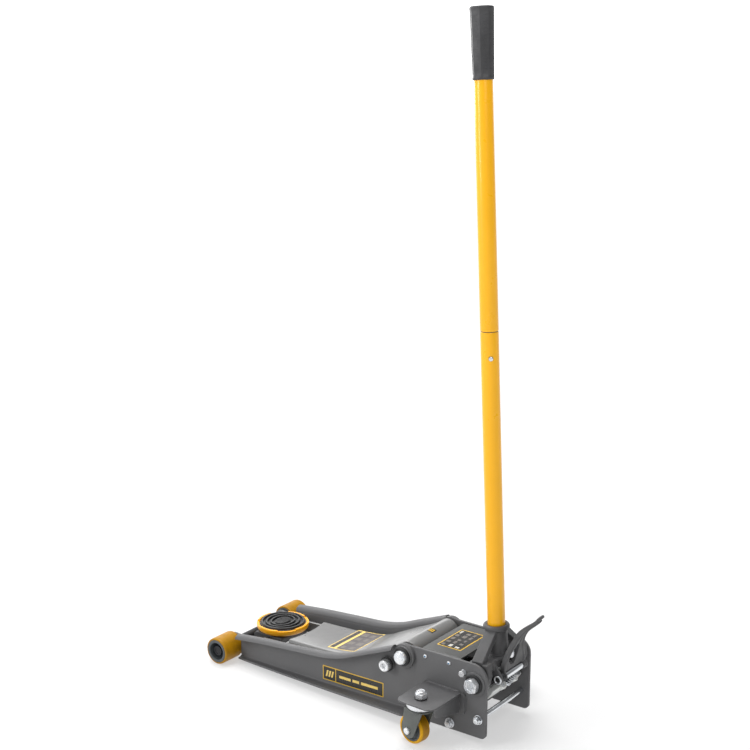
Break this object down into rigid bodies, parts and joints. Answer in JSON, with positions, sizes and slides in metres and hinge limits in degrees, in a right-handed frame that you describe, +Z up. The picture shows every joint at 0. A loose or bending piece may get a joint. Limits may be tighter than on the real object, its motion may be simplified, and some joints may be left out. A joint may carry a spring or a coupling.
{
  "type": "hydraulic floor jack",
  "caption": "Long low hydraulic floor jack: lift arm with round saddle between side plates, front rollers, rear casters, foot pedal and a tall two-piece pump handle.",
  "frame": {"origin": "on the floor, under the middle of the overall length and width, with all four wheels standing on z = 0", "axes": "+Z up; +X towards the operator's end with the handle; -X towards the saddle; -Y is the operator's left"},
  "size_m": [0.7696, 0.388, 1.4284],
  "materials": {
    "frame_paint": "satin grey powder coat",
    "arm_paint": "satin grey powder coat, slightly lighter",
    "cast_paint": "rough dark grey painted casting",
    "zinc": "bright zinc plate",
    "steel": "bare steel",
    "chrome": "polished hard chrome",
    "yellow_paint": "glossy yellow powder coat",
    "tread": "moulded polyurethane",
    "rubber": "matt moulded rubber",
    "wheel_core": "dark cast wheel core",
    "unit_paint": "black painted hydraulic unit"
  },
  "bodies": {
    "chassis": {"side_plate_left": "frame_paint", "side_plate_right": "frame_paint", "rear_cover": "frame_paint", "cover_screw_left_front": "zinc", "cover_screw_left_rear": "zinc", "main_pivot_pin": "zinc", "lower_tie_rod": "zinc", "lower_spacer_bar": "zinc", "link_bolt_left": "zinc", "link_bolt_right": "zinc", "front_axle": "steel", "hydraulic_block": "zinc", "ram_cylinder": "steel", "reservoir_tube": "unit_paint", "return_spring_left": "steel", "return_spring_right": "steel", "pump_spring": "steel", "socket_bolt_left": "zinc", "socket_bolt_right": "zinc", "caster_bracket_left": "frame_paint", "caster_race_left": "zinc", "caster_stem_left": "zinc", "caster_bracket_right": "frame_paint", "caster_race_right": "zinc", "caster_stem_right": "zinc"},
    "arm": {"lift_arm": "arm_paint", "ram_lever_pin": "steel", "saddle_yoke_pin": "steel"},
    "yoke": {"saddle_yoke": "cast_paint"},
    "saddle": {"saddle_cup": "yellow_paint", "saddle_pad": "rubber"},
    "link_left": {"level_link_left": "steel"},
    "link_right": {"level_link_right": "steel"},
    "ram": {"ram": "chrome"},
    "pump": {"pump_plunger": "steel"},
    "valve": {"release_valve": "steel"},
    "socket": {"handle_socket": "cast_paint", "handle_lock_screw": "zinc", "pump_shaft": "zinc", "pedal_spring": "steel"},
    "roller": {"pump_roller": "chrome"},
    "pedal": {"foot_pedal": "cast_paint"},
    "handle": {"handle_lower_tube": "yellow_paint", "handle_upper_tube": "yellow_paint", "handle_grip": "rubber", "release_universal": "steel"},
    "button": {"snap_button": "zinc"},
    "front_wheel_left": {"front_wheel_left": "wheel_core", "front_tread_left": "tread"},
    "front_wheel_right": {"front_wheel_right": "wheel_core", "front_tread_right": "tread"},
    "caster_left": {"caster_fork_left": "cast_paint", "caster_axle_left": "zinc"},
    "caster_right": {"caster_fork_right": "cast_paint", "caster_axle_right": "zinc"},
    "caster_wheel_left": {"caster_wheel_left": "wheel_core", "caster_tread_left": "tread"},
    "caster_wheel_right": {"caster_wheel_right": "wheel_core", "caster_tread_right": "tread"}
  },
  "joints": [
    {"name": "arm_lift", "type": "hinge", "parent": "chassis", "child": "arm", "pos_m": [0.11869, 0, 0.1386], "axis": [0, 1, 0], "range_deg": [0, 67]},
    {"name": "saddle_level", "type": "hinge", "parent": "arm", "child": "yoke", "pos_m": [-0.28312, 0, 0.04376], "axis": [0, 1, 0], "range_deg": [-67, 0]},
    {"name": "saddle_spin", "type": "hinge", "parent": "yoke", "child": "saddle", "pos_m": [-0.28355, 0, 0.06175], "axis": [-0.0244, 0, 0.9997], "continuous": true},
    {"name": "link_lift_left", "type": "hinge", "parent": "chassis", "child": "link_left", "pos_m": [0.08036, -0.054, 0.11066], "axis": [0, 1, 0], "range_deg": [0, 67]},
    {"name": "link_lift_right", "type": "hinge", "parent": "chassis", "child": "link_right", "pos_m": [0.08036, 0.054, 0.11066], "axis": [0, 1, 0], "range_deg": [0, 67]},
    {"name": "ram_slide", "type": "slide", "parent": "chassis", "child": "ram", "axis": [-0.9997, 0, -0.0244], "range_m": [0, 0.04987], "deforming": ["return_spring_left", "return_spring_right"]},
    {"name": "handle_swing", "type": "hinge", "parent": "chassis", "child": "socket", "pos_m": [0.28705, 0, 0.12571], "axis": [0, 1, 0], "range_deg": [0, 45]},
    {"name": "pump_stroke", "type": "slide", "parent": "chassis", "child": "pump", "axis": [-0.5803, 0, -0.8144], "range_m": [0, 0.02354], "deforming": ["pump_spring"]},
    {"name": "roller_spin", "type": "hinge", "parent": "socket", "child": "roller", "pos_m": [0.31945, 0.014, 0.1305], "axis": [0, 1, 0], "continuous": true},
    {"name": "pedal_press", "type": "hinge", "parent": "socket", "child": "pedal", "pos_m": [0.31945, 0, 0.1305], "axis": [0, 1, 0], "range_deg": [0, 22], "stiffness_Nm_per_rad": 3, "springref_deg": -14.32, "deforming": ["pedal_spring"]},
    {"name": "handle_turn", "type": "hinge", "parent": "socket", "child": "handle", "pos_m": [0.28456, 0, 0.15962], "axis": [-0.0734, 0, 0.9973], "range_deg": [0, 90]},
    {"name": "release_turn", "type": "hinge", "parent": "chassis", "child": "valve", "pos_m": [0.28754, 0, 0.10572], "axis": [-0.0244, 0, 0.9997], "range_deg": [0, 90]},
    {"name": "button_press", "type": "slide", "parent": "handle", "child": "button", "axis": [-0.5984, 0.8, -0.044], "range_m": [0, 0.003], "stiffness_N_per_m": 400, "springref_m": -0.003},
    {"name": "front_roll_left", "type": "hinge", "parent": "chassis", "child": "front_wheel_left", "pos_m": [-0.3548, -0.118, 0.03], "axis": [0, 1, 0], "continuous": true},
    {"name": "front_roll_right", "type": "hinge", "parent": "chassis", "child": "front_wheel_right", "pos_m": [-0.3548, 0.118, 0.03], "axis": [0, 1, 0], "continuous": true},
    {"name": "caster_swivel_left", "type": "hinge", "parent": "chassis", "child": "caster_left", "pos_m": [0.2082, -0.159, 0.078], "axis": [0, 0, 1], "continuous": true},
    {"name": "caster_swivel_right", "type": "hinge", "parent": "chassis", "child": "caster_right", "pos_m": [0.2082, 0.159, 0.078], "axis": [0, 0, 1], "continuous": true},
    {"name": "caster_roll_left", "type": "hinge", "parent": "caster_left", "child": "caster_wheel_left", "pos_m": [0.19483, -0.15712, 0.031], "axis": [0.1392, 0.9903, 0], "continuous": true},
    {"name": "caster_roll_right", "type": "hinge", "parent": "caster_right", "child": "caster_wheel_right", "pos_m": [0.19483, 0.15712, 0.031], "axis": [-0.1392, 0.9903, 0], "continuous": true}
  ],
  "couplings": [
    {"joint": "saddle_level", "follows": "arm_lift", "ratio": -1},
    {"joint": "link_lift_left", "follows": "arm_lift", "ratio": 1},
    {"joint": "link_lift_right", "follows": "arm_lift", "ratio": 1},
    {"joint": "ram_slide", "follows": "arm_lift", "m_per_rad": 0.04248},
    {"joint": "pump_stroke", "follows": "handle_swing", "m_per_rad": 0.029713},
    {"joint": "release_turn", "follows": "handle_turn", "ratio": 1}
  ]
}
